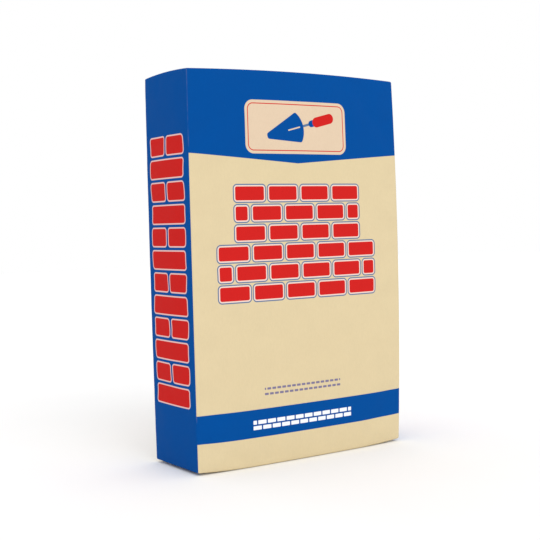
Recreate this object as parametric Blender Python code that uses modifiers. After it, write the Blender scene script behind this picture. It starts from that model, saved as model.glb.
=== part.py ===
"""A full sack of cement that stands on its end: a printed multi-ply paper tube with a folded block end
at the top and at the bottom, a cover patch pasted over each end, the flattened valve sleeve that it is
filled through, and the cement inside.

The sack stands on the floor at Z = 0, centred on X and Y. Its broad front faces -Y and its valve is at
the +X end of the top. Sizes are in metres.
"""

import bmesh
import bpy

# Sizes of the sack, from crease to crease
FACE_WIDTH = 0.386
SIDE_WIDTH = 0.129
SACK_LENGTH = 0.588
PAPER_THICKNESS = 0.0005
CREASE_RADIUS = 0.003

# How far the filling pushes the paper out of the flat box
FACE_BULGE = 0.005
SIDE_BULGE = 0.003
EDGE_BOW = 0.002
TOP_RISE_ALONG_FACE = 0.0037
TOP_RISE_ALONG_SIDE = 0.0025
CORNER_LIFT = 0.0037
FLAT_SHARE = 0.5

# The pasted cover patches
PATCH_THICKNESS = 0.0004
PATCH_LENGTH = 0.352
PATCH_WIDTH = 0.102

# The valve sleeve, a tube pressed flat
SLEEVE_WIDTH = 0.094
SLEEVE_HEIGHT = 0.0016
SLEEVE_LENGTH = 0.120
SLEEVE_WALL = 0.0004
SLEEVE_PROUD = 0.003
SLEEVE_DROP = 0.0055
SLIT_CUTTER_LENGTH = 0.024

# Clearance between pieces that touch in the real sack, and between the cement and the paper
GAP = 0.0003
FILL_GAP = 0.0005

# How finely the curved panels are divided
CUTS_ACROSS_FACE = 11
CUTS_ACROSS_SIDE = 5
CUTS_UP = 11
PATCH_CUTS_LONG = 11
PATCH_CUTS_WIDE = 3
CREASE_ANGLE = 0.9
CREASE_SEGMENTS = 2

SACK_BOTTOM = PATCH_THICKNESS + GAP
SACK_TOP = SACK_BOTTOM + CORNER_LIFT + SACK_LENGTH
SLEEVE_TOP = SACK_TOP - SLEEVE_DROP
FILL_INSET = PAPER_THICKNESS + FILL_GAP
FILL_TOP = SLEEVE_TOP - SLEEVE_HEIGHT - GAP

COLLECTION = "cement_bag"
CUTTERS = "cement_bag_cutters"


def clear_scene():
    for thing in list(bpy.data.objects):
        bpy.data.objects.remove(thing, do_unlink=True)


def new_collection(name):
    collection = bpy.data.collections.new(name)
    bpy.context.scene.collection.children.link(collection)
    return collection


def paint(name, colour, roughness):
    material = bpy.data.materials.new(name)
    material.use_nodes = True
    shader = material.node_tree.nodes["Principled BSDF"]
    shader.inputs["Base Color"].default_value = (*colour, 1.0)
    shader.inputs["Roughness"].default_value = roughness
    shader.inputs["Metallic"].default_value = 0.0
    return material


def add_object(name, mesh_maker, collection, material=None):
    """An object whose mesh is what the bmesh holds."""
    mesh = bpy.data.meshes.new(name)
    mesh_maker.to_mesh(mesh)
    mesh_maker.free()
    thing = bpy.data.objects.new(name, mesh)
    collection.objects.link(thing)
    if material:
        mesh.materials.append(material)
    return thing


def filled_shape(x, y, z):
    """Where a point of the flat box lies once the sack is full.

    Each of across, depth and height runs from -1 to 1 between opposite sides of the box.
    """
    across = 2 * x / FACE_WIDTH
    depth = 2 * y / SIDE_WIDTH
    share_up = (z - SACK_BOTTOM) / (SACK_TOP - SACK_BOTTOM)
    height = 2 * share_up - 1

    bow = EDGE_BOW * (1 - height**2)
    side_bulge = SIDE_BULGE * (1 - depth**2) * (1 - height**2)
    face_bulge = FACE_BULGE * (1 - across**2)
    top_rise = TOP_RISE_ALONG_FACE * (1 - across**2) + TOP_RISE_ALONG_SIDE * (1 - depth**2)
    past_flat = max(0.0, (abs(across) - FLAT_SHARE) / (1 - FLAT_SHARE))
    bottom_lift = CORNER_LIFT * past_flat**2
    return (
        x + across * (bow + side_bulge),
        y + depth * face_bulge,
        z + share_up * top_rise + (1 - share_up) * bottom_lift,
    )


def divided_box(width, depth, bottom, top, cuts):
    """A box centred on X and Y, with its faces cut into a grid by the cuts along X, Y and Z."""
    box = bmesh.new()
    bmesh.ops.create_cube(box, size=1)
    for vert in box.verts:
        vert.co.x *= width
        vert.co.y *= depth
        vert.co.z = top if vert.co.z > 0 else bottom
    for axis, count in enumerate(cuts):
        runs = [
            edge
            for edge in box.edges
            if abs(edge.verts[0].co[axis] - edge.verts[1].co[axis]) > GAP
        ]
        bmesh.ops.subdivide_edges(box, edges=runs, cuts=count, use_grid_fill=True)
    return box


def crease_bevel(thing, radius):
    """Rounds the twelve folded edges, which are the only sharp ones."""
    bevel = thing.modifiers.new("crease", "BEVEL")
    bevel.width = radius
    bevel.segments = CREASE_SEGMENTS
    bevel.limit_method = "ANGLE"
    bevel.angle_limit = CREASE_ANGLE


def wall(thing, thickness, offset):
    solidify = thing.modifiers.new("wall", "SOLIDIFY")
    solidify.thickness = thickness
    solidify.offset = offset
    solidify.use_even_offset = True


def make_sack(collection, cutters):
    """The printed paper shell, open only at the slit that the valve sleeve comes out of."""
    box = divided_box(
        FACE_WIDTH,
        SIDE_WIDTH,
        SACK_BOTTOM,
        SACK_TOP,
        (CUTS_ACROSS_FACE, CUTS_ACROSS_SIDE, CUTS_UP),
    )
    for vert in box.verts:
        vert.co = filled_shape(*vert.co)
    sack = add_object("sack", box, collection, paint("printed_paper", (0.81, 0.66, 0.41), 0.7))
    crease_bevel(sack, CREASE_RADIUS)
    wall(sack, PAPER_THICKNESS, -1)

    slit = bmesh.new()
    bmesh.ops.create_cube(slit, size=1)
    for vert in slit.verts:
        vert.co.x = FACE_WIDTH / 2 + vert.co.x * SLIT_CUTTER_LENGTH
        vert.co.y *= SLEEVE_WIDTH + 2 * GAP
        vert.co.z = SLEEVE_TOP - SLEEVE_HEIGHT / 2 + vert.co.z * (SLEEVE_HEIGHT + 2 * GAP)
    cutter = add_object("valve_slit_cutter", slit, cutters)
    cutter.hide_render = True
    cutter.display_type = "WIRE"
    cut = sack.modifiers.new("valve_slit", "BOOLEAN")
    cut.operation = "DIFFERENCE"
    cut.solver = "EXACT"
    cut.object = cutter


def make_fill(collection):
    """The cement, with a flat top just under the valve sleeve."""
    box = divided_box(
        FACE_WIDTH - 2 * FILL_INSET,
        SIDE_WIDTH - 2 * FILL_INSET,
        SACK_BOTTOM + FILL_INSET,
        FILL_TOP,
        (CUTS_ACROSS_FACE, CUTS_ACROSS_SIDE, CUTS_UP),
    )
    for vert in box.verts:
        shaped = filled_shape(*vert.co)
        is_top = vert.co.z > FILL_TOP - GAP
        vert.co = (shaped[0], shaped[1], FILL_TOP if is_top else shaped[2])
    fill = add_object("cement_fill", box, collection, paint("cement", (0.34, 0.34, 0.33), 0.95))
    crease_bevel(fill, CREASE_RADIUS - FILL_INSET)


def make_patch(name, level, outwards, collection, material):
    """A cover sheet, which follows the end of the sack that it is pasted on."""
    sheet = bmesh.new()
    bmesh.ops.create_grid(
        sheet, x_segments=PATCH_CUTS_LONG + 1, y_segments=PATCH_CUTS_WIDE + 1, size=0.5
    )
    if outwards < 0:
        bmesh.ops.reverse_faces(sheet, faces=sheet.faces)
    for vert in sheet.verts:
        vert.co = filled_shape(PATCH_LENGTH * vert.co.x, PATCH_WIDTH * vert.co.y, level)
        vert.co.z += GAP * outwards
    patch = add_object(name, sheet, collection, material)
    wall(patch, PATCH_THICKNESS, 1)


def make_sleeve(collection, material):
    """The valve sleeve: a paper tube pressed flat, open at both ends."""
    tube = bmesh.new()
    bmesh.ops.create_cube(tube, size=1)
    ends = [face for face in tube.faces if abs(face.normal.x) > 0.5]
    bmesh.ops.delete(tube, geom=ends, context="FACES_ONLY")
    mouth = FACE_WIDTH / 2 + SLEEVE_PROUD
    for vert in tube.verts:
        vert.co.x = mouth - SLEEVE_LENGTH / 2 + vert.co.x * SLEEVE_LENGTH
        vert.co.y *= SLEEVE_WIDTH
        vert.co.z = SLEEVE_TOP - SLEEVE_HEIGHT / 2 + vert.co.z * SLEEVE_HEIGHT
    sleeve = add_object("valve_sleeve", tube, collection, material)
    wall(sleeve, SLEEVE_WALL, -1)


def main():
    clear_scene()
    pieces = new_collection(COLLECTION)
    cutters = new_collection(CUTTERS)
    kraft = paint("kraft_paper", (0.55, 0.38, 0.22), 0.8)
    make_sack(pieces, cutters)
    make_fill(pieces)
    make_patch("top_end_patch", SACK_TOP, 1, pieces, kraft)
    make_patch("bottom_end_patch", SACK_BOTTOM, -1, pieces, kraft)
    make_sleeve(pieces, kraft)


main()
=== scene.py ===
"""A full paper sack of cement on a pale studio floor: the printed sack with its folded block ends, the
cover patch pasted on each end, the valve sleeve that it is filled through, and the cement inside.

Places and sizes are in metres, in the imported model's frame: the sack stands on Z = 0, its broad front
faces -Y and its valve is at the +X end of the top. The print is drawn in millimetres.
"""

import math

import bpy
import numpy as np
from mathutils import Matrix, Vector


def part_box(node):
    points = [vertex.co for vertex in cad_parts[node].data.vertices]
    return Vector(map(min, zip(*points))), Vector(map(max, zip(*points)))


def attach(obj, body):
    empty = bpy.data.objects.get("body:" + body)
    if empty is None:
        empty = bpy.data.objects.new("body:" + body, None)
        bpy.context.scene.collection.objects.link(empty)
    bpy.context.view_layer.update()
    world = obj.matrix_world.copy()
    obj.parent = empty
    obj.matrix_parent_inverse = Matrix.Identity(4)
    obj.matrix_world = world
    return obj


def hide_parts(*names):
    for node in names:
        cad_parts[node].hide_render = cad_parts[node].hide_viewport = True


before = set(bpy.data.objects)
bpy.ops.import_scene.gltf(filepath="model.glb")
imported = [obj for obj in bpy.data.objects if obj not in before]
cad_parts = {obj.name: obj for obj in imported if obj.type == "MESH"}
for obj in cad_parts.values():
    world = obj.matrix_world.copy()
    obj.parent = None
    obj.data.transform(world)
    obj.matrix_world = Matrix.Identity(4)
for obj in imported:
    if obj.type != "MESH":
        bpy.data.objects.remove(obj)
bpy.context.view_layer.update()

# The camera, placed so that the sack stands as it does in the photograph
CAMERA_PLACE = (-0.96092, -1.40328, 0.36757)
CAMERA_YAW = 34.026
CAMERA_PITCH = -2.546
CAMERA_ROLL = -1.518
CAMERA_LENS = 71.0
CAMERA_SENSOR = 36.0

# The studio
FLOOR_SIZE = 14.0
FLOOR_CELLS = 14
BOARD_GRAIN_SCALE = 3.0
BOARD_ROUGHNESS = 0.9
BOARD_GLOSS = 0.1
SKY_LIGHT = 1.0
KEY_FROM = (-0.10, -0.80, 0.50)
KEY_SPREAD = 50.0
KEY_STRENGTH = 1.0

# The sack's box from crease to crease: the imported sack's own box, less what it bulges past its creases
SACK_LOW, SACK_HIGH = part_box("sack")
PACKED_FACE_BULGE = 0.005
PACKED_SIDE_BULGE = 0.005
PACKED_TOP_RISE = 0.0062
FACE_WIDTH = SACK_HIGH.x - SACK_LOW.x - 2 * PACKED_SIDE_BULGE
SIDE_WIDTH = SACK_HIGH.y - SACK_LOW.y - 2 * PACKED_FACE_BULGE
HALF_FACE = FACE_WIDTH / 2
HALF_SIDE = SIDE_WIDTH / 2

# Paper, and how close pasted layers lie
PAPER = 0.0005
PATCH_PAPER = 0.0004
TOUCH = 0.00005
SACK_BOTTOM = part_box("bottom_end_patch")[0].z + PATCH_PAPER + TOUCH
SACK_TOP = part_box("top_end_patch")[1].z - PACKED_TOP_RISE - PATCH_PAPER - TOUCH

# How the filling shapes the sack: each vertical crease bows out, the broad faces and the ends bulge
LEFT_BOW = 0.0008
RIGHT_BOW = 0.0038
FACE_BULGE = 0.005
TOP_RISE_ALONG_FACE = 0.0037
TOP_RISE_ALONG_SIDE = 0.0025
CORNER_LIFT = 0.0037
FLAT_SHARE = 0.5
END_FADE = 12
CREASE_RADIUS = 0.0025

# The lines of mesh round each half of a crease, in degrees
CREASE_STEPS = (0.0, 15.0, 30.0, 45.0)

# The cloth that gives the panels their relief
CLOTH_CELL = 0.008
CLOTH_FRAMES = 22
CLOTH_QUALITY = 10
CLOTH_MASS = 0.05
CLOTH_AIR_DAMPING = 1
CLOTH_GROWTH = 0.006
CLOTH_PRESSURE = 0.5
CLOTH_STIFFNESS = 60.0
CLOTH_BENDING = 2.0
CLOTH_DAMPING = 5.0
CLOTH_SEED = 7
CLOTH_SEED_BUMP = 0.0002
RELIEF_SHARE = 0.7
RELIEF_CAP = 0.004

# The meshes of the finished pieces
SKIN_CELL = 0.0046
CEMENT_CELL = 0.012
LEAST_CELL = 0.0014
SHARP_ANGLE = 50.0

# The lap of the glued tube, a step down the back
LAP_EDGE = -0.160
LAP_STEP = 0.0007
LAP_FADE = 0.060

# The folded ends: long flaps over the side tucks, lying in a shallow dish
FLAP_OVERLAP = 0.025
FLAP_RAMP = 0.005
FLAP_RAMP_LINES = 6
FLAP_DIP = 0.008
FLAP_CELL = 0.004
DIAGONAL_INSET = 0.0004

# The cover patches. Only a patch's end columns lie further from its middle than the end share of its length
PATCH_TOOTH = 0.006
PATCH_TOOTH_DEPTH = 0.0022
PATCH_CELL = 0.004
PATCH_END_SHARE = 0.4999

# The valve sleeve
SLEEVE_WALL = 0.0004
SLIT_MARGIN = 0.0003
SLEEVE_CELL = 0.004
SLEEVE_PARTING = 0.0005
NOTCH_HALF_WIDTH = 0.016
NOTCH_DEPTH = 0.0022
SLEEVE_STATIONS = 28
SLEEVE_FOLD_STEPS = 5
CEMENT_GAP = 0.001

# The sack's own flat map, for baking: the tube's strip starts at its back left crease, the inside lies
# small in a corner, and every cut edge in one spot
MAP_MARGIN = 0.008
MAP_SIZE = 1.045
STRIP_BASE = SIDE_WIDTH + MAP_MARGIN
STRIP_START = {
    "left": 0.0,
    "front": SIDE_WIDTH,
    "right": SIDE_WIDTH + FACE_WIDTH,
    "back": 2 * SIDE_WIDTH + FACE_WIDTH,
}
INSIDE_SCALE = 0.15
INSIDE_CORNER = (0.78, 0.002)
RIM_CORNERS = ((0.95, 0.01), (0.96, 0.01), (0.96, 0.02), (0.95, 0.02))

# The print, in millimetres on the flat sack: across from its own middle, and up from the bottom crease
MM = 1000.0
PRINT_MIDDLE = -7.0
HEADER_POINT = 456.2
HEADER_SLOPE = 0.0775
STRIP_MIDDLE = 66.0
STRIP_HALF = 21.3
RIM_INSET = 5.0
RIM_HALF = 0.7
TROWEL_UP = 510.0
TROWEL_TILT = 14.0
BLADE_TIP = -68.0
BLADE_SLOPE = 0.33
HEEL_CENTRE = -22.0
HEEL_RADIUS = 34.0
BLADE_ROUNDING = 4.0
INK_EDGE = 0.2
KEYLINE_SPREAD = 3.8
OUTLINE_SPREAD = 2.0

# Each printed run of rounded blocks: its foot, how many blocks and courses, the length and height of one
# with its joint, the joints beside and above it, and its corners
PLAQUE = (470.5, 1, 1, 186.0, 79.0, 0.0, 0.0, 14.0)
LOWER_WALL = (248.0, 5, 3, 58.8, 29.7, 9.0, 9.0, 3.0)
UPPER_WALL = (337.1, 4, 3, 58.8, 29.7, 9.0, 9.0, 3.0)
DASHES = (105.0, 16, 2, 9.0, 8.0, 2.2, 4.6, 0.8)
STRIP_BLOCKS = (55.4, 11, 2, 17.0, 8.25, 2.4, 2.4, 0.8)
SIDE_PIER = (94.0, 1, 12, 106.0, 34.0, 8.0, 8.0, 4.0)

# The trowel's straight parts, along its own axis: from, to and half thickness
SHANK = (0.0, 27.0, 1.8)
RIB = (-16.0, 5.0, 1.0)
FERRULE = (27.5, 31.0, 5.0)
HANDLE = (38.0, 64.0, 7.6)

# Inks and paper
CREAM = "#cfbe99"
BLUE = "#00478f"
RED = "#c1201e"
PLAQUE_CREAM = "#d2bca2"
PALE = "#dfc9bd"
PINK = "#dfb9b4"
STEEL_BLUE = "#5a7090"
VIOLET_GREY = "#77708c"
WHITE = "#e6e9ee"
BARE_PAPER = "#c3ab83"
KRAFT_DARK = "#a57f50"
KRAFT_LIGHT = "#b28a5a"
KRAFT_WARM = "#966d40"
KRAFT_FLECK = "#6d4a28"
CEMENT_DARK = "#83837f"
CEMENT_LIGHT = "#a5a5a0"
BOARD_DARK = "#f3f3f3"
BOARD_LIGHT = "#f7f7f7"

# Paper and powder detail. A fibre is 0.03 mm wide and 3 mm long, and is drawn coarse enough to show, and
# fibres flock in patches of about 10 mm. Clods of cement are about 6 mm across, and its grains, 0.05 mm,
# are drawn as fine pits
FIBRE_SIZE = 0.0016
FIBRE_STRETCH = 0.25
FIBRE_HEIGHT = 0.0001
FLECK_SIZE = 0.0007
FIBRE_TONE = 0.02
CLOUD_SIZE = 0.035
CLOUD_TONE = 0.012
FLOCK_SIZE = 0.010
RUB_WIDTH = 1.6
RUB_MOST = 0.12
RUB_SIZE = 0.018
RUB_FROM = 0.42
RUB_FULL = 0.7
CLOD_SIZE = 0.006
CLOD_HEIGHT = 0.0006
GRAIN_SIZE = 0.0008
GRAIN_SHARE = 0.25
CEMENT_TONES_FROM = 0.4
CEMENT_TONES_TO = 0.85

# How matt and how rough each finish is
INK_ROUGHNESS = (0.68, 0.78)
INK_GLOSS = 0.04
INK_BUMP = 0.35
KRAFT_ROUGHNESS = (0.72, 0.84)
KRAFT_GLOSS = 0.3
KRAFT_BUMP = 0.5
CEMENT_ROUGHNESS = 0.95
CEMENT_GLOSS = 0.2
CEMENT_BUMP = 0.8

# Where most of a noise lies
NOISE_LOW = 0.3
NOISE_HIGH = 0.7

# Kinds of node that come up often
MATH = "ShaderNodeMath"
VECTOR = "ShaderNodeVectorMath"
MIX = "ShaderNodeMix"
NOISE = "ShaderNodeTexNoise"
RANGE = "ShaderNodeMapRange"
BUMP = "ShaderNodeBump"


def linear(hex_colour):
    """An sRGB hex colour as linear light."""
    parts = [int(hex_colour[place:place + 2], 16) / 255 for place in (1, 3, 5)]
    lit = [part / 12.92 if part <= 0.04045 else ((part + 0.055) / 1.055) ** 2.4 for part in parts]
    return (*lit, 1.0)


def start_material(name):
    """A new material, with its node tree and its shader."""
    material = bpy.data.materials.new(name)
    material.use_nodes = True
    tree = material.node_tree
    return material, tree, tree.nodes["Principled BSDF"]


def add_node(tree, kind, inputs=(), **settings):
    """Adds a node with its settings. Its inputs come in order or by name.

    An input takes a value, a socket, or a node, which stands for its first live output.
    """
    node = tree.nodes.new(kind)
    for name, value in settings.items():
        setattr(node, name, value)
    for place, value in inputs.items() if isinstance(inputs, dict) else enumerate(inputs):
        if isinstance(value, bpy.types.Node):
            value = next(output for output in value.outputs if output.enabled)
        if isinstance(value, bpy.types.NodeSocket):
            tree.links.new(value, node.inputs[place])
        else:
            node.inputs[place].default_value = value
    return node


# Camera and studio


def place_camera():
    """The photograph's view: the front and the left side, from about two thirds of the sack's height."""
    yaw = math.radians(CAMERA_YAW)
    pitch = math.radians(CAMERA_PITCH)
    roll = math.radians(CAMERA_ROLL)
    ahead = Vector(
        (math.sin(yaw) * math.cos(pitch), math.cos(yaw) * math.cos(pitch), math.sin(pitch))
    )
    level = Vector((math.cos(yaw), -math.sin(yaw), 0))
    upright = level.cross(ahead)
    across = level * math.cos(roll) + upright * math.sin(roll)
    up = upright * math.cos(roll) - level * math.sin(roll)
    lens = bpy.data.cameras.new("camera")
    lens.lens = CAMERA_LENS
    lens.sensor_width = CAMERA_SENSOR
    camera = bpy.data.objects.new("camera", lens)
    bpy.context.scene.collection.objects.link(camera)
    turn = Matrix((across, up, -ahead)).transposed()
    camera.matrix_world = Matrix.Translation(CAMERA_PLACE) @ turn.to_4x4()
    bpy.context.scene.camera = camera


def light_studio():
    """A white room: even light from all round, and one wide soft light from above the front."""
    world = bpy.data.worlds.new("studio")
    world.use_nodes = True
    background = world.node_tree.nodes["Background"]
    background.inputs["Color"].default_value = (1.0, 1.0, 1.0, 1.0)
    background.inputs["Strength"].default_value = SKY_LIGHT
    bpy.context.scene.world = world
    bpy.context.scene.view_settings.view_transform = "Standard"

    lamp = bpy.data.lights.new("key_light", "SUN")
    lamp.energy = KEY_STRENGTH
    lamp.angle = math.radians(KEY_SPREAD)
    key = bpy.data.objects.new("key_light", lamp)
    bpy.context.scene.collection.objects.link(key)
    key.location = KEY_FROM
    key.rotation_euler = Vector(KEY_FROM).to_track_quat("Z", "Y").to_euler()


def lay_floor():
    """White painted board, smooth and matt, so it reads as an even pale ground."""
    lines = np.linspace(-FLOOR_SIZE / 2, FLOOR_SIZE / 2, FLOOR_CELLS + 1)
    ids = np.arange(lines.size**2).reshape(lines.size, lines.size)
    places = np.stack([*np.meshgrid(lines, lines, indexing="ij"), np.zeros(ids.shape)], axis=-1)
    material, tree, shader = start_material("white_studio_board")
    shader.inputs["Roughness"].default_value = BOARD_ROUGHNESS
    shader.inputs["Specular IOR Level"].default_value = BOARD_GLOSS
    where = add_node(tree, "ShaderNodeTexCoord").outputs["Object"]
    grain = add_node(tree, NOISE, {"Vector": where, "Scale": BOARD_GRAIN_SCALE})
    tones = {0: grain, 6: linear(BOARD_DARK), 7: linear(BOARD_LIGHT)}
    tone = add_node(tree, MIX, tones, data_type="RGBA")
    tree.links.new(tone.outputs[2], shader.inputs["Base Color"])
    floor = make_piece("floor", places.reshape(-1, 3), panel_quads(ids), [material])


# Meshes out of grids of points


def panel_quads(ids):
    """The quads between the rows and columns of a grid of point numbers."""
    corners = [ids[:-1, :-1], ids[1:, :-1], ids[1:, 1:], ids[:-1, 1:]]
    return np.stack(corners, axis=-1).reshape(-1, 4)


def shell(outer, inner, quads):
    """A closed wall between an outer and an inner skin of like quads, with a rim round each hole."""
    count = len(outer)
    starts = quads.ravel()
    ends = np.roll(quads, -1, axis=1).ravel()
    used = set(zip(starts.tolist(), ends.tolist()))
    open_edges = [(a, b) for a, b in zip(starts.tolist(), ends.tolist()) if (b, a) not in used]
    rims = np.array([(b, a, a + count, b + count) for a, b in open_edges], int).reshape(-1, 4)
    faces = np.concatenate([quads, quads[:, ::-1] + count, rims])
    return np.concatenate([outer, inner]), faces


def add_object(name, mesh):
    """An object at the origin, with its place in its mesh, shaded smooth up to its sharp edges."""
    mesh.shade_smooth()
    mesh.set_sharp_from_angle(angle=math.radians(SHARP_ANGLE))
    piece = bpy.data.objects.new(name, mesh)
    bpy.context.scene.collection.objects.link(piece)
    return piece


def make_piece(name, points, faces, materials):
    """A piece made of points and quads, in its materials."""
    mesh = bpy.data.meshes.new(name)
    mesh.from_pydata(points.tolist(), [], faces.tolist())
    for material in materials:
        mesh.materials.append(material)
    return add_object(name, mesh)


def write_flat(piece, flat):
    """Keeps where each point was on the unfilled sack, which is what the print is laid out on."""
    attribute = piece.data.attributes.new("flat", "FLOAT_VECTOR", "POINT")
    attribute.data.foreach_set("vector", flat.astype(np.float32).ravel())


def smooth_step(value, low, high):
    """Rises softly from 0 at the low value to 1 at the high one."""
    share = np.clip((value - low) / (high - low), 0, 1)
    return share * share * (3 - 2 * share)


def grid_lines(low, high, cell, extra=()):
    """Lines across a panel: close in its two creases, a cell apart between, and some where asked."""
    turn = CREASE_RADIUS * np.tan(np.radians(CREASE_STEPS))
    count = max(2, round((high - low - 2 * CREASE_RADIUS) / cell))
    middle = np.linspace(low + CREASE_RADIUS, high - CREASE_RADIUS, count + 1)[1:-1]
    for line in extra:
        middle = middle[np.abs(middle - line) > LEAST_CELL]
    return np.sort(np.concatenate([low + turn, middle, high - turn, np.array(extra, float)]))


def surface_grid(xs, ys, zs):
    """The skin of a box as a grid: its points, and each panel's point numbers, wound to face outwards."""
    shape = (len(xs), len(ys), len(zs))
    on_skin = np.zeros(shape, bool)
    on_skin[[0, -1]] = True
    on_skin[:, [0, -1]] = True
    on_skin[:, :, [0, -1]] = True
    number = np.full(shape, -1)
    number[on_skin] = np.arange(on_skin.sum())
    places = np.stack(np.meshgrid(xs, ys, zs, indexing="ij"), axis=-1)[on_skin]
    panels = {
        "front": number[:, 0, :],
        "right": number[-1, :, :],
        "back": number[::-1, -1, :],
        "left": number[0, ::-1, :],
        "bottom": number[:, ::-1, 0],
        "top": number[:, :, -1],
    }
    return places, panels


# The shape of the full sack

# Each upright panel: the axis it faces along, the way it faces, the axis along its width, and whether its
# own grid runs with that axis or against it
UPRIGHT = {
    "front": (1, -1, 0, 1),
    "right": (0, 1, 1, 1),
    "back": (1, 1, 0, -1),
    "left": (0, -1, 1, -1),
}


def filled(flat, level_top=False):
    """Where points of the flat box lie once the sack is full, before the paper's own relief."""
    x, y, z = np.moveaxis(flat, -1, 0)
    across = x / HALF_FACE
    depth = y / HALF_SIDE
    share_up = (z - SACK_BOTTOM) / (SACK_TOP - SACK_BOTTOM)
    waist = 1 - (2 * share_up - 1) ** 2
    bow = LEFT_BOW + (RIGHT_BOW - LEFT_BOW) * (1 + across) / 2
    bulge = FACE_BULGE * (1 - across**2)
    rise = TOP_RISE_ALONG_FACE * (1 - across**2) + TOP_RISE_ALONG_SIDE * (1 - depth**2)
    near_top = share_up**END_FADE
    near_bottom = (1 - share_up) ** END_FADE
    past_flat = np.clip((np.abs(across) - FLAT_SHARE) / (1 - FLAT_SHARE), 0, None)
    lift = CORNER_LIFT * past_flat**2
    if level_top:
        rise = 0
    return np.stack(
        [
            x + across * bow * waist,
            y + depth * (bulge + bow * waist),
            z + near_top * rise + near_bottom * lift,
        ],
        axis=-1,
    )


def end_dish(x, y):
    """How deep an end of the tube lies below its creases, so that the flaps lie level in it."""
    from_crease = np.minimum(HALF_FACE - np.abs(x), HALF_SIDE - np.abs(y)) - CREASE_RADIUS
    under_both = smooth_step(
        -np.abs(y), -FLAP_OVERLAP / 2 - 2 * FLAP_DIP, -FLAP_OVERLAP / 2 - FLAP_DIP
    )
    depth = PAPER + 2 * TOUCH + (PAPER + TOUCH) * under_both
    return depth * smooth_step(from_crease, 0, FLAP_RAMP)


def rounded(flat, inset):
    """Points of a flat box's skin with its creases rounded, set in from the paper's outer face."""
    low = flat.min(axis=0) + CREASE_RADIUS
    high = flat.max(axis=0) - CREASE_RADIUS
    core = np.clip(flat, low, high)
    out = flat - core
    return core + out / np.linalg.norm(out, axis=1, keepdims=True) * (CREASE_RADIUS - inset)


def spline_weights(places, low, high, count):
    """Weights of the cloth's lines in a smooth curve that follows them, nought at both ends."""
    steps = (places[:, None] - low) / (high - low) * (count - 1) - np.arange(-1, count + 1)
    near = np.abs(steps)
    bell = np.where(near < 1, 2 / 3 - near**2 + near**3 / 2, np.clip(2 - near, 0, None) ** 3 / 6)
    weights = bell[:, 1:-1].copy()
    weights[:, 1] -= bell[:, 0]
    weights[:, -2] -= bell[:, -1]
    return weights


def skin(places, panels, relief, inset=0.0, lap=True, level_top=False):
    """The full sack's skin at the points of a grid."""
    points = rounded(places, inset)
    dish = end_dish(places[:, 0], places[:, 1])
    for name, way in (("top", -1), ("bottom", 1)):
        ids = panels[name].ravel()
        if name == "bottom" or not level_top:
            points[ids, 2] += way * dish[ids]
    points = filled(points, level_top)
    for name, (axis, way, along, _) in UPRIGHT.items():
        ids = panels[name]
        us = places[ids[:, 0], along]
        zs = places[ids[0], 2]
        half = (HALF_FACE, HALF_SIDE)[along]
        across = spline_weights(us, -half, half, relief[name].shape[0])
        up = spline_weights(zs, SACK_BOTTOM, SACK_TOP, relief[name].shape[1])
        push = across @ relief[name] @ up.T
        if name == "back" and lap:
            step = smooth_step(us, LAP_EDGE - LAP_STEP / 2, LAP_EDGE + LAP_STEP / 2)
            fade = smooth_step(-us, -LAP_EDGE - LAP_FADE, -LAP_EDGE)
            push = push + PAPER * (step * fade)[:, None]
        points[ids.ravel(), axis] += way * push.ravel()
    return points


def hang_cloth(sheet, held):
    """Makes the sheet a cloth of stiff paper, a little oversize and blown out, with its creases held."""
    pins = sheet.vertex_groups.new(name="creases")
    pins.add(np.flatnonzero(held).tolist(), 1.0, "REPLACE")
    cloth = sheet.modifiers.new("cloth", "CLOTH")
    paper = cloth.settings
    paper.quality = CLOTH_QUALITY
    paper.mass = CLOTH_MASS
    paper.tension_stiffness = CLOTH_STIFFNESS
    paper.compression_stiffness = CLOTH_STIFFNESS
    paper.shear_stiffness = CLOTH_STIFFNESS / 2
    paper.bending_stiffness = CLOTH_BENDING
    paper.tension_damping = CLOTH_DAMPING
    paper.compression_damping = CLOTH_DAMPING
    paper.shear_damping = CLOTH_DAMPING
    paper.bending_damping = CLOTH_DAMPING / 10
    paper.air_damping = CLOTH_AIR_DAMPING
    paper.use_pressure = True
    paper.uniform_pressure_force = CLOTH_PRESSURE
    paper.vertex_group_mass = pins.name
    paper.pin_stiffness = 1
    paper.shrink_min = -CLOTH_GROWTH
    paper.shrink_max = -CLOTH_GROWTH
    paper.effector_weights.gravity = 0
    cloth.collision_settings.use_collision = False
    cloth.point_cache.frame_start = 1
    cloth.point_cache.frame_end = CLOTH_FRAMES


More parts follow.
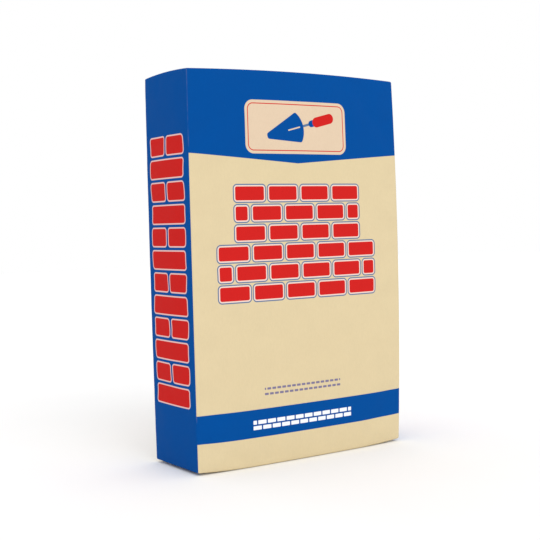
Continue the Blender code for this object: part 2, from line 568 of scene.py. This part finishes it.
def cloth_relief():
    """How far the cement pushes each upright panel out, and the soft dents that the paper is left with.

    The flat tube of paper is blown out by a cloth simulation. Each panel's array runs along its own axis
    and up.
    """
    extents = (FACE_WIDTH, SIDE_WIDTH, SACK_TOP - SACK_BOTTOM)
    counts = [round(extent / CLOTH_CELL) + 1 for extent in extents]

    xs = np.linspace(-HALF_FACE, HALF_FACE, counts[0])
    ys = np.linspace(-HALF_SIDE, HALF_SIDE, counts[1])
    zs = np.linspace(SACK_BOTTOM, SACK_TOP, counts[2])
    places, panels = surface_grid(xs, ys, zs)
    held = np.ones(len(places), bool)
    for name in UPRIGHT:
        held[panels[name][1:-1, 1:-1].ravel()] = False
    chance = np.random.default_rng(CLOTH_SEED)
    start = places.copy()
    start[~held] += chance.uniform(-CLOTH_SEED_BUMP, CLOTH_SEED_BUMP, (int((~held).sum()), 3))
    quads = np.concatenate([panel_quads(panels[name]) for name in UPRIGHT])
    sheet = make_piece("paper_to_blow_out", start, quads, [])
    hang_cloth(sheet, held)
    scene = bpy.context.scene
    for step in range(1, CLOTH_FRAMES + 1):
        scene.frame_set(step)
    graph = bpy.context.evaluated_depsgraph_get()
    blown = bpy.data.meshes.new_from_object(sheet.evaluated_get(graph))
    moved = np.empty(len(places) * 3, np.float32)
    blown.vertices.foreach_get("co", moved)
    moved = moved.reshape(-1, 3) - places
    bpy.data.objects.remove(sheet)
    scene.frame_set(1)

    relief = {}
    for name, (axis, way, _, run) in UPRIGHT.items():
        push = way * moved[panels[name], axis] * RELIEF_SHARE
        relief[name] = RELIEF_CAP * np.tanh(push[::run] / RELIEF_CAP)
    return relief


# The sack's pieces


def chart(name, places):
    """Where a panel's points lie on the sack's own flat map: the tube as one strip, the ends below it."""
    x, y, z = places.T
    along = {
        "left": HALF_SIDE - y,
        "front": HALF_FACE + x,
        "right": HALF_SIDE + y,
        "back": HALF_FACE - x,
    }
    if name in STRIP_START:
        spot = [STRIP_START[name] + along[name], STRIP_BASE + z]
    elif name == "top":
        spot = [HALF_FACE + x, HALF_SIDE + y]
    else:
        spot = [FACE_WIDTH + MAP_MARGIN + HALF_FACE + x, HALF_SIDE - y]
    return np.stack(spot, axis=-1) / MAP_SIZE


def make_sack(relief, printed, plain):
    """The paper tube with its ends tucked in: printed outside, plain inside, open at the valve slit."""
    slit_low, slit_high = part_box("valve_sleeve")
    slit_rows = (slit_low.z - SLIT_MARGIN, slit_high.z + SLIT_MARGIN)
    slit_ends = (slit_low.y - SLIT_MARGIN, slit_high.y + SLIT_MARGIN)
    lap_lines = (LAP_EDGE - LAP_STEP / 2, LAP_EDGE + LAP_STEP / 2)
    xs = grid_lines(-HALF_FACE, HALF_FACE, SKIN_CELL, lap_lines)
    ys = grid_lines(-HALF_SIDE, HALF_SIDE, SKIN_CELL, slit_ends)
    zs = grid_lines(SACK_BOTTOM, SACK_TOP, SKIN_CELL, slit_rows)
    places, panels = surface_grid(xs, ys, zs)

    # The slit's two rows lie level once the sack is full
    level = panels["right"][:, np.isin(zs, slit_rows)].ravel()
    places[level, 2] += places[level, 2] - filled(places[level])[:, 2]

    quads = []
    spots = []
    for name, ids in panels.items():
        kept = np.ones((ids.shape[0] - 1, ids.shape[1] - 1), bool)
        if name == "right":
            from_side, to_side = np.searchsorted(ys, slit_ends)
            from_row, to_row = np.searchsorted(zs, slit_rows)
            kept[from_side:to_side, from_row:to_row] = False
        own = panel_quads(ids)[kept.ravel()]
        quads.append(own)
        spots.append(chart(name, places[own.ravel()]).reshape(-1, 4, 2))
    quads = np.concatenate(quads)
    spots = np.concatenate(spots)
    outer = skin(places, panels, relief)
    inner = skin(places, panels, relief, inset=PAPER, lap=False)
    points, faces = shell(outer, inner, quads)
    rims = len(faces) - 2 * len(quads)
    inside = spots[:, ::-1] * INSIDE_SCALE + INSIDE_CORNER
    edges = np.broadcast_to(RIM_CORNERS, (rims, 4, 2))

    sack = make_piece("sack_paper", points, faces, [printed, plain])
    looks = np.zeros(len(faces), np.int32)
    looks[len(quads):] = 1
    sack.data.polygons.foreach_set("material_index", looks)
    unfolded = sack.data.uv_layers.new(name="OFBake")
    spots = np.concatenate([spots, inside, edges]).astype(np.float32)
    unfolded.data.foreach_set("uv", spots.ravel())
    write_flat(sack, np.concatenate([places, places]))
    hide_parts("sack")
    return sack


def make_flap(name, level, inward, side, tucked, material):
    """One long flap of a block end: the broad panel's own paper folded in, with its ends cut at 45 degrees.

    It starts level with the crease and lies in the end's dish. One flap is tucked under the other.
    """
    reach = HALF_SIDE + FLAP_OVERLAP / 2
    start = CREASE_RADIUS + np.linspace(0, FLAP_RAMP, FLAP_RAMP_LINES)
    rest = np.linspace(start[-1], reach, round((reach - start[-1]) / FLAP_CELL) + 1)[1:]
    shares = np.linspace(-1, 1, round(FACE_WIDTH / FLAP_CELL) + 1)
    folded, share = np.meshgrid(np.concatenate([start, rest]), shares, indexing="ij")
    x = share * (HALF_FACE - folded - DIAGONAL_INSET)
    y = side * (HALF_SIDE - folded)
    surface = filled(np.stack([x, y, np.full_like(x, level)], axis=-1)).reshape(-1, 3)
    under = smooth_step(folded, HALF_SIDE - FLAP_OVERLAP / 2 - FLAP_DIP, HALF_SIDE - FLAP_OVERLAP / 2)
    depth = (PAPER + TOUCH) * under * tucked - TOUCH / 2
    thickness = (PAPER - TOUCH) * smooth_step(folded, CREASE_RADIUS, CREASE_RADIUS + FLAP_RAMP)
    outer = surface + np.outer((inward * depth).ravel(), (0, 0, 1))
    inner = surface + np.outer((inward * (depth + thickness + TOUCH / 2)).ravel(), (0, 0, 1))
    ids = np.arange(x.size).reshape(x.shape)
    if side * inward > 0:
        ids = ids[:, ::-1]
    flap = make_piece(name, *shell(outer, inner, panel_quads(ids)), [material])
    unfolded = [x, np.full_like(x, side * HALF_SIDE), level - inward * folded]
    flat = np.stack(unfolded, axis=-1).reshape(-1, 3)
    write_flat(flap, np.concatenate([flat, flat]))
    return flap


def cover_patch_tree():
    """Geometry Nodes that cut a cover patch: a sheet of paper whose short edges have knife-cut teeth."""
    tree = bpy.data.node_groups.new("cover_patch", "GeometryNodeTree")
    sockets = {}
    for name, kind in (
        ("Length", "NodeSocketFloat"),
        ("Width", "NodeSocketFloat"),
        ("Thickness", "NodeSocketFloat"),
        ("Teeth", "NodeSocketInt"),
        ("Tooth Depth", "NodeSocketFloat"),
        ("Cells Along", "NodeSocketInt"),
        ("Paper", "NodeSocketMaterial"),
    ):
        socket = tree.interface.new_socket(name, in_out="INPUT", socket_type=kind)
        sockets[name] = socket.identifier
    tree.interface.new_socket("Patch", in_out="OUTPUT", socket_type="NodeSocketGeometry")
    given = add_node(tree, "NodeGroupInput").outputs

    columns = add_node(tree, MATH, (given["Cells Along"], 1.0), operation="ADD")
    rows = add_node(tree, MATH, (given["Teeth"], 2.0, 1.0), operation="MULTIPLY_ADD")
    sheet = add_node(tree, "GeometryNodeMeshGrid", (given["Length"], given["Width"], columns, rows))
    where = add_node(tree, "GeometryNodeInputPosition")
    place = add_node(tree, "ShaderNodeSeparateXYZ", (where,)).outputs
    tooth = add_node(tree, MATH, (given["Width"], given["Teeth"]), operation="DIVIDE")
    half_tooth = add_node(tree, MATH, (tooth, 2.0), operation="DIVIDE")
    from_edge = add_node(tree, MATH, (given["Width"], 0.5, place["Y"]), operation="MULTIPLY_ADD")
    zigzag = add_node(tree, MATH, (from_edge, half_tooth), operation="PINGPONG")
    wave = add_node(tree, MATH, (zigzag, half_tooth), operation="DIVIDE")
    from_middle = add_node(tree, MATH, (place["X"],), operation="ABSOLUTE")
    last = add_node(tree, MATH, (given["Length"], PATCH_END_SHARE), operation="MULTIPLY")
    at_end = add_node(tree, MATH, (from_middle, last), operation="GREATER_THAN")
    notch = add_node(tree, MATH, (wave, given["Tooth Depth"]), operation="MULTIPLY")
    cut = add_node(tree, MATH, (notch, at_end), operation="MULTIPLY")
    outward = add_node(tree, MATH, (place["X"],), operation="SIGN")
    signed = add_node(tree, MATH, (cut, outward), operation="MULTIPLY")
    inward = add_node(tree, MATH, (signed, -1.0), operation="MULTIPLY")
    shift = add_node(tree, "ShaderNodeCombineXYZ", (inward,))
    toothed = add_node(tree, "GeometryNodeSetPosition", {"Geometry": sheet, "Offset": shift})
    raised = {"Mesh": toothed, "Offset": (0, 0, 1), "Offset Scale": given["Thickness"]}
    front = add_node(tree, "GeometryNodeExtrudeMesh", {**raised, "Individual": False}, mode="FACES")
    back = add_node(tree, "GeometryNodeFlipFaces", (toothed,))
    both = add_node(tree, "GeometryNodeJoinGeometry", (back,))
    tree.links.new(front.outputs["Mesh"], both.inputs[0])
    closed = add_node(tree, "GeometryNodeMergeByDistance", {"Geometry": both, "Distance": TOUCH})
    real = add_node(tree, "GeometryNodeRealizeInstances", (closed,))
    done = add_node(tree, "GeometryNodeSetMaterial", {"Geometry": real, "Material": given["Paper"]})
    add_node(tree, "NodeGroupOutput", (done,))
    return tree, sockets


def cut_patch(cutter, length, width, kraft):
    """A flat cover patch, as its Geometry Nodes cut it."""
    tree, sockets = cutter
    blank = bpy.data.objects.new("patch_blank", bpy.data.meshes.new("patch_blank"))
    bpy.context.scene.collection.objects.link(blank)
    cut = blank.modifiers.new("cut", "NODES")
    cut.node_group = tree
    for socket, value in (
        ("Length", length),
        ("Width", width),
        ("Thickness", PATCH_PAPER),
        ("Teeth", round(width / PATCH_TOOTH)),
        ("Tooth Depth", PATCH_TOOTH_DEPTH),
        ("Cells Along", round(length / PATCH_CELL)),
        ("Paper", kraft),
    ):
        cut[sockets[socket]] = value
    graph = bpy.context.evaluated_depsgraph_get()
    mesh = bpy.data.meshes.new_from_object(blank.evaluated_get(graph))
    bpy.data.objects.remove(blank)
    mesh.materials.clear()
    mesh.materials.append(kraft)
    return mesh


def make_cover_patch(name, node, level, inward, cutter, kraft):
    """A cover patch, laid on the flaps of its end and, past their cut ends, down on to the side tucks."""
    low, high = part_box(node)
    mesh = cut_patch(cutter, high.x - low.x, high.y - low.y, kraft)
    places = np.empty(len(mesh.vertices) * 3, np.float32)
    mesh.vertices.foreach_get("co", places)
    x, y, height = places.reshape(-1, 3).astype(float).T
    y = -inward * y
    into_tuck = (HALF_SIDE - np.abs(y)) - (HALF_FACE - np.abs(x))
    through = height / PATCH_PAPER * (PATCH_PAPER - TOUCH / 2)
    depth = PAPER * smooth_step(into_tuck, 0, FLAP_DIP) - TOUCH - through
    laid = filled(np.stack([x, y, np.full_like(x, level)], axis=-1))
    laid[:, 2] += inward * np.clip(depth, -PATCH_PAPER - TOUCH, None)
    mesh.vertices.foreach_set("co", laid.astype(np.float32).ravel())
    patch = add_object(name, mesh)
    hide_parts(node)
    return patch


def flat_ring(half_width, half_height, centre_reach, count):
    """A tube pressed flat, seen from its end: its upper lip from -Y to +Y, and back along its lower lip."""
    across = np.linspace(-centre_reach, centre_reach, count)
    fold = np.radians(np.linspace(90, -90, SLEEVE_FOLD_STEPS + 2)[1:-1])
    upper = np.stack([across, np.full(count, half_height)], axis=-1)
    out = half_width - centre_reach
    right = np.stack([centre_reach + out * np.cos(fold), half_height * np.sin(fold)], axis=-1)
    return np.concatenate([upper, right, -upper, -right])


def make_valve_sleeve(kraft):
    """The valve: a paper tube pressed flat, its lips a little apart, the upper with a thumb notch."""
    low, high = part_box("valve_sleeve")
    half_width = (high.y - low.y) / 2
    half_height = (high.z - low.z) / 2
    count = round(2 * half_width / SLEEVE_CELL) + 1
    centre_reach = half_width - half_height
    skins = []
    for wall in (0.0, SLEEVE_WALL):
        y, z = flat_ring(half_width - wall, half_height - wall, centre_reach, count).T
        notch = NOTCH_DEPTH * np.sqrt(np.clip(1 - (y / NOTCH_HALF_WIDTH) ** 2, 0, None)) * (z > 0)
        along = np.sqrt(np.linspace(0, 1, SLEEVE_STATIONS))[:, None]
        x = low.x + along * (high.x - notch - low.x)
        parting = SLEEVE_PARTING * smooth_step(x, HALF_FACE, high.x) * (1 - (y / half_width) ** 2)
        z = (low.z + high.z) / 2 + z + np.sign(z) * parting
        skins.append(np.stack([x, np.broadcast_to(y, x.shape), z], axis=-1).reshape(-1, 3))
    ids = np.arange(len(skins[0])).reshape(SLEEVE_STATIONS, -1)
    ids = np.concatenate([ids, ids[:, :1]], axis=1)
    sleeve = make_piece("valve_tube", *shell(*skins, panel_quads(ids)), [kraft])
    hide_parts("valve_sleeve")
    return sleeve


def make_cement(relief, powder):
    """The cement: it fills the sack to just under the valve, and its top is level."""
    inset = PAPER + CEMENT_GAP
    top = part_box("cement_fill")[1].z + inset
    xs = grid_lines(-HALF_FACE, HALF_FACE, CEMENT_CELL)
    ys = grid_lines(-HALF_SIDE, HALF_SIDE, CEMENT_CELL)
    zs = grid_lines(SACK_BOTTOM, top, CEMENT_CELL)
    places, panels = surface_grid(xs, ys, zs)
    points = skin(places, panels, relief, inset=inset, lap=False, level_top=True)
    quads = np.concatenate([panel_quads(ids) for ids in panels.values()])
    cement = make_piece("cement", points, quads, [powder])
    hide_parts("cement_fill")
    return cement


# Finishes


def band_distance(tree, value, middle, half_width):
    """Nodes for how far a value is outside a band."""
    off = add_node(tree, MATH, (value, middle), operation="SUBTRACT")
    off = add_node(tree, MATH, (off,), operation="ABSOLUTE")
    return add_node(tree, MATH, (off, half_width), operation="SUBTRACT")


def block_edge(tree, place, pitch, past_run, joint, corner):
    """Nodes for how far a place is past an edge of its block, less the corner's radius.

    Blocks repeat at the pitch from nought, with a joint between, as far as the end of their run.
    """
    half_pitch = add_node(tree, MATH, (pitch, 0.5), operation="MULTIPLY")
    in_block = add_node(tree, MATH, (place, pitch), operation="FLOORED_MODULO")
    past_joint = band_distance(tree, in_block, half_pitch, half_pitch)
    past = add_node(tree, MATH, (past_joint, past_run), operation="MAXIMUM")
    past = add_node(tree, MATH, (joint, 0.5, past), operation="MULTIPLY_ADD")
    return add_node(tree, MATH, (past, corner), operation="ADD")


def courses_group():
    """How far, in millimetres, a point is outside the nearest block of a wall in running bond.

    Across is measured from the wall's middle, and Up from its foot. Rows end flush, in half blocks where
    the bond needs them.
    """
    tree = bpy.data.node_groups.new("brick_courses", "ShaderNodeTree")
    sizes = ("Half Width", "Height", "Block", "Course", "Joint Across", "Joint Up", "Corner")
    for name in ("Across", "Up", *sizes):
        tree.interface.new_socket(name, in_out="INPUT", socket_type="NodeSocketFloat")
    tree.interface.new_socket("Outside", in_out="OUTPUT", socket_type="NodeSocketFloat")
    given = add_node(tree, "NodeGroupInput").outputs
    corner = given["Corner"]

    row = add_node(tree, MATH, (given["Up"], given["Course"]), operation="DIVIDE")
    row = add_node(tree, MATH, (row,), operation="FLOOR")
    odd = add_node(tree, MATH, (row, 2.0), operation="FLOORED_MODULO")
    half_block = add_node(tree, MATH, (given["Block"], 0.5), operation="MULTIPLY")
    from_end = add_node(tree, MATH, (given["Across"], given["Half Width"]), operation="ADD")
    shifted = add_node(tree, MATH, (odd, half_block, from_end), operation="MULTIPLY_ADD")
    past_width = band_distance(tree, given["Across"], 0.0, given["Half Width"])
    half_height = add_node(tree, MATH, (given["Height"], 0.5), operation="MULTIPLY")
    past_height = band_distance(tree, given["Up"], half_height, half_height)
    side = block_edge(tree, shifted, given["Block"], past_width, given["Joint Across"], corner)
    bed = block_edge(tree, given["Up"], given["Course"], past_height, given["Joint Up"], corner)

    inside = add_node(tree, MATH, (side, bed), operation="MAXIMUM")
    inside = add_node(tree, MATH, (inside, 0.0), operation="MINIMUM")
    side = add_node(tree, MATH, (side, 0.0), operation="MAXIMUM")
    bed = add_node(tree, MATH, (bed, 0.0), operation="MAXIMUM")
    rounding = add_node(tree, "ShaderNodeCombineXYZ", (side, bed))
    rounding = add_node(tree, VECTOR, (rounding,), operation="LENGTH")
    outside = add_node(tree, MATH, (rounding, inside), operation="ADD")
    outside = add_node(tree, MATH, (outside, corner), operation="SUBTRACT")
    add_node(tree, "NodeGroupOutput", (outside,))
    return tree


def blocks_distance(tree, courses, across, up, run):
    """Nodes for how far a point is outside the blocks of a printed run."""
    foot, blocks, rows, block, course, *rest = run
    from_foot = add_node(tree, MATH, (up, foot), operation="SUBTRACT")
    sizes = (blocks * block / 2, rows * course, block, course, *rest)
    return add_node(tree, "ShaderNodeGroup", (across, from_foot, *sizes), node_tree=courses)


def bar_distance(tree, along, across, start, end, radius):
    """Nodes for how far a point is outside a bar with round ends."""
    nearest = add_node(tree, "ShaderNodeClamp", (along, start, end))
    past = add_node(tree, MATH, (along, nearest), operation="SUBTRACT")
    reach = add_node(tree, "ShaderNodeCombineXYZ", (past, across))
    reach = add_node(tree, VECTOR, (reach,), operation="LENGTH")
    return add_node(tree, MATH, (reach, radius), operation="SUBTRACT")


def ink_over(tree, below, distance, spread, ink):
    """Nodes that print an ink where the distance is under the spread, with a slightly soft edge."""
    edge = {0: distance, 1: spread - INK_EDGE, 2: spread + INK_EDGE, 3: 1.0, 4: 0.0}
    mask = add_node(tree, RANGE, edge)
    return add_node(tree, MIX, {0: mask, 6: below, 7: linear(ink)}, data_type="RGBA")


def trowel_inks(tree, across, up):
    """The trowel on the plaque, as the distances and inks that it is printed with, lowest first."""
    on_face = add_node(tree, "ShaderNodeCombineXYZ", (across, up))
    tilt = (on_face, (0, TROWEL_UP, 0), (0, 0, math.radians(TROWEL_TILT)))
    turned = add_node(tree, "ShaderNodeMapping", tilt, vector_type="TEXTURE")
    along, aside, _ = add_node(tree, "ShaderNodeSeparateXYZ", (turned,)).outputs
    shank, rib, ferrule, handle = (
        bar_distance(tree, along, aside, *size) for size in (SHANK, RIB, FERRULE, HANDLE)
    )
    off_axis = add_node(tree, MATH, (aside,), operation="ABSOLUTE")
    from_tip = add_node(tree, MATH, (along, BLADE_TIP), operation="SUBTRACT")
    past_edge = add_node(tree, MATH, (from_tip, -BLADE_SLOPE, off_axis), operation="MULTIPLY_ADD")
    past_heel = bar_distance(tree, along, aside, HEEL_CENTRE, HEEL_CENTRE, HEEL_RADIUS)
    blade = add_node(tree, MATH, (past_edge, past_heel, BLADE_ROUNDING), operation="SMOOTH_MAX")
    return [
        (shank, STEEL_BLUE),
        (blade, BLUE),
        (rib, PLAQUE_CREAM),
        (ferrule, BLUE),
        (handle, RED),
    ]


def face_print(tree, courses, across, up):
    """The broad face: cream, a blue header and strip, the plaque, the brick wall and the small marks."""
    off_middle = add_node(tree, MATH, (across,), operation="ABSOLUTE")
    fall = (off_middle, HEADER_SLOPE, HEADER_POINT)
    header_edge = add_node(tree, MATH, fall, operation="MULTIPLY_ADD")
    header = add_node(tree, MATH, (header_edge, up), operation="SUBTRACT")
    strip = band_distance(tree, up, STRIP_MIDDLE, STRIP_HALF)
    plaque = blocks_distance(tree, courses, across, up, PLAQUE)
    rim = band_distance(tree, plaque, -RIM_INSET, RIM_HALF)
    dashes = blocks_distance(tree, courses, across, up, DASHES)
    strip_blocks = blocks_distance(tree, courses, across, up, STRIP_BLOCKS)

    prints = [(header, BLUE), (strip, BLUE), (plaque, PLAQUE_CREAM), (rim, RED)]
    prints += trowel_inks(tree, across, up)
    prints += [(dashes, VIOLET_GREY), (strip_blocks, WHITE)]
    colour = linear(CREAM)
    for distance, ink in prints:
        colour = ink_over(tree, colour, distance, 0.0, ink)
    for run in (LOWER_WALL, UPPER_WALL):
        wall = blocks_distance(tree, courses, across, up, run)
        for spread, ink in ((KEYLINE_SPREAD, STEEL_BLUE), (OUTLINE_SPREAD, PALE), (0.0, RED)):
            colour = ink_over(tree, colour, wall, spread, ink)
    return colour


def side_print(tree, courses, across, up):
    """The narrow side: blue, with a pier of red bricks outlined in pink."""
    pier = blocks_distance(tree, courses, across, up, SIDE_PIER)
    colour = linear(BLUE)
    for spread, ink in ((OUTLINE_SPREAD, PINK), (0.0, RED)):
        colour = ink_over(tree, colour, pier, spread, ink)
    return colour


def bare_share(tree, where, spot, from_crease, on_back):
    """Nodes for where the ink is off: rubbed in patches along the creases, and at the lap's cut edge."""
    rubbed = add_node(tree, RANGE, {0: from_crease, 1: 0.0, 2: RUB_WIDTH, 3: RUB_MOST, 4: 0.0})
    patches = add_node(tree, NOISE, {"Vector": where, "Scale": 1 / RUB_SIZE, "Detail": 3.0})
    patches = add_node(tree, RANGE, {0: patches, 1: RUB_FROM, 2: RUB_FULL, 3: 0.0, 4: 1.0})
    rubbed = add_node(tree, MATH, (rubbed, patches), operation="MULTIPLY")
    lap_edge = band_distance(tree, spot["X"], LAP_EDGE * MM, LAP_STEP * MM / 2)
    cut = add_node(tree, RANGE, {0: lap_edge, 1: -INK_EDGE, 2: INK_EDGE, 3: 1.0, 4: 0.0})
    cut = add_node(tree, MATH, (cut, on_back), operation="MULTIPLY")
    return add_node(tree, MATH, (rubbed, cut), operation="MAXIMUM")


def printed_paper():
    """Multi-ply sack kraft, machine-glazed on the outside, flexo-printed in matt water-based inks.

    The cream field is a solid tint printed on the paper, so the whole outside is ink: flat, even and
    matt, with the paper's long fibres just showing through, and rubbed paler along the creases. The ink
    soaks in, so it has hardly any gloss.
    """
    material, tree, shader = start_material("flexo_printed_kraft_sack_paper")
    flat = add_node(tree, "ShaderNodeAttribute", attribute_name="flat").outputs["Vector"]
    in_mm = add_node(tree, VECTOR, {0: flat, "Scale": MM}, operation="SCALE")
    spot = add_node(tree, "ShaderNodeSeparateXYZ", (in_mm,)).outputs
    up = add_node(tree, MATH, (spot["Z"], SACK_BOTTOM * MM), operation="SUBTRACT")
    past_face = band_distance(tree, spot["X"], 0.0, HALF_FACE * MM)
    past_side = band_distance(tree, spot["Y"], 0.0, HALF_SIDE * MM)
    broad = add_node(tree, MATH, (past_face, past_side), operation="LESS_THAN")
    behind = add_node(tree, MATH, (spot["Y"], 0.0), operation="GREATER_THAN")
    on_back = add_node(tree, MATH, (behind, broad), operation="MULTIPLY")
    facing = add_node(tree, MATH, (behind, -2.0, 1.0), operation="MULTIPLY_ADD")
    across = add_node(tree, MATH, (spot["X"], facing, -PRINT_MIDDLE), operation="MULTIPLY_ADD")
    courses = courses_group()
    face = face_print(tree, courses, across, up)
    side = side_print(tree, courses, spot["Y"], up)
    colour = add_node(tree, MIX, {0: broad, 6: side, 7: face}, data_type="RGBA")

    where = add_node(tree, "ShaderNodeTexCoord").outputs["Object"]
    stretch = {"Vector": where, "Scale": (1.0, 1.0, FIBRE_STRETCH)}
    stretched = add_node(tree, "ShaderNodeMapping", stretch)
    grain = {"Vector": stretched, "Scale": 1 / FIBRE_SIZE, "Detail": 3.0, "Roughness": 0.6}
    fibre = add_node(tree, NOISE, grain)
    cloud = add_node(tree, NOISE, {"Vector": where, "Scale": 1 / CLOUD_SIZE, "Detail": 2.0})
    for pattern, depth in ((fibre, FIBRE_TONE), (cloud, CLOUD_TONE)):
        shades = {0: pattern, 1: NOISE_LOW, 2: NOISE_HIGH, 3: 1 - depth, 4: 1 + depth}
        tone = add_node(tree, RANGE, shades)
        colour = add_node(tree, VECTOR, {0: colour, "Scale": tone}, operation="SCALE")
    from_crease = add_node(tree, MATH, (past_face, past_side), operation="MINIMUM")
    from_crease = add_node(tree, MATH, (from_crease,), operation="ABSOLUTE")
    bare = bare_share(tree, where, spot, from_crease, on_back)
    colour = add_node(tree, MIX, {0: bare, 6: colour, 7: linear(BARE_PAPER)}, data_type="RGBA")
    tree.links.new(colour.outputs[2], shader.inputs["Base Color"])

    smooth, rough = INK_ROUGHNESS
    shine = add_node(tree, RANGE, {0: cloud, 1: NOISE_LOW, 2: NOISE_HIGH, 3: smooth, 4: rough})
    tree.links.new(shine.outputs[0], shader.inputs["Roughness"])
    shader.inputs["Specular IOR Level"].default_value = INK_GLOSS
    bump = add_node(tree, BUMP, {"Height": fibre, "Strength": INK_BUMP, "Distance": FIBRE_HEIGHT})
    tree.links.new(bump.outputs[0], shader.inputs["Normal"])
    return material


def bare_kraft():
    """Unprinted brown sack kraft, rolled and unbleached: warm and matt, faintly mottled where its fibres
    flock, and flecked with darker ones."""
    material, tree, shader = start_material("unbleached_kraft_paper")
    where = add_node(tree, "ShaderNodeTexCoord").outputs["Object"]
    stretch = {"Vector": where, "Scale": (FIBRE_STRETCH, 1.0, 1.0)}
    stretched = add_node(tree, "ShaderNodeMapping", stretch)
    grain = {"Vector": stretched, "Scale": 1 / FIBRE_SIZE, "Detail": 4.0, "Roughness": 0.65}
    fibre = add_node(tree, NOISE, grain)
    flocks = add_node(tree, NOISE, {"Vector": where, "Scale": 1 / FLOCK_SIZE, "Detail": 3.0})
    flecks = add_node(tree, NOISE, {"Vector": stretched, "Scale": 1 / FLECK_SIZE, "Detail": 1.0})
    colour = linear(KRAFT_DARK)
    for pattern, low, high, most, tint in (
        (fibre, 0.35, 0.65, 1.0, KRAFT_LIGHT),
        (flocks, 0.35, 0.65, 0.3, KRAFT_WARM),
        (flecks, 0.66, 0.72, 0.45, KRAFT_FLECK),
    ):
        share = add_node(tree, RANGE, {0: pattern, 1: low, 2: high, 3: 0.0, 4: most})
        colour = add_node(tree, MIX, {0: share, 6: colour, 7: linear(tint)}, data_type="RGBA")
    tree.links.new(colour.outputs[2], shader.inputs["Base Color"])
    smooth, rough = KRAFT_ROUGHNESS
    shine = add_node(tree, RANGE, {0: fibre, 1: NOISE_LOW, 2: NOISE_HIGH, 3: smooth, 4: rough})
    tree.links.new(shine.outputs[0], shader.inputs["Roughness"])
    shader.inputs["Specular IOR Level"].default_value = KRAFT_GLOSS
    bump = add_node(tree, BUMP, {"Height": fibre, "Strength": KRAFT_BUMP, "Distance": FIBRE_HEIGHT})
    tree.links.new(bump.outputs[0], shader.inputs["Normal"])
    return material


def cement_powder():
    """Portland cement, ground finer than flour: pale grey, quite matt, in soft clods with fine pits."""
    material, tree, shader = start_material("portland_cement_powder")
    where = add_node(tree, "ShaderNodeTexCoord").outputs["Object"]
    clods = add_node(tree, NOISE, {"Vector": where, "Scale": 1 / CLOD_SIZE, "Detail": 6.0})
    grains = add_node(tree, NOISE, {"Vector": where, "Scale": 1 / GRAIN_SIZE, "Detail": 2.0})
    both = add_node(tree, MATH, (grains, GRAIN_SHARE, clods), operation="MULTIPLY_ADD")
    limits = {0: both, 1: CEMENT_TONES_FROM, 2: CEMENT_TONES_TO, 3: 0.0, 4: 1.0}
    share = add_node(tree, RANGE, limits)
    tones = {0: share, 6: linear(CEMENT_DARK), 7: linear(CEMENT_LIGHT)}
    colour = add_node(tree, MIX, tones, data_type="RGBA")
    tree.links.new(colour.outputs[2], shader.inputs["Base Color"])
    shader.inputs["Roughness"].default_value = CEMENT_ROUGHNESS
    shader.inputs["Specular IOR Level"].default_value = CEMENT_GLOSS
    bump = add_node(tree, BUMP, {"Height": both, "Strength": CEMENT_BUMP, "Distance": CLOD_HEIGHT})
    tree.links.new(bump.outputs[0], shader.inputs["Normal"])
    return material


def main():
    place_camera()
    light_studio()
    lay_floor()

    printed = printed_paper()
    kraft = bare_kraft()
    relief = cloth_relief()
    pieces = [make_sack(relief, printed, kraft)]
    cutter = cover_patch_tree()
    for end, node, level, inward in (
        ("top", "top_end_patch", SACK_TOP, -1),
        ("bottom", "bottom_end_patch", SACK_BOTTOM, 1),
    ):
        for face, side, tucked in (("front", -1, 1), ("back", 1, 0)):
            pieces.append(make_flap(f"{end}_{face}_flap", level, inward, side, tucked, printed))
        pieces.append(make_cover_patch(f"{end}_cover_patch", node, level, inward, cutter, kraft))
    pieces.append(make_valve_sleeve(kraft))
    pieces.append(make_cement(relief, cement_powder()))
    for piece in pieces:
        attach(piece, "root")


main()
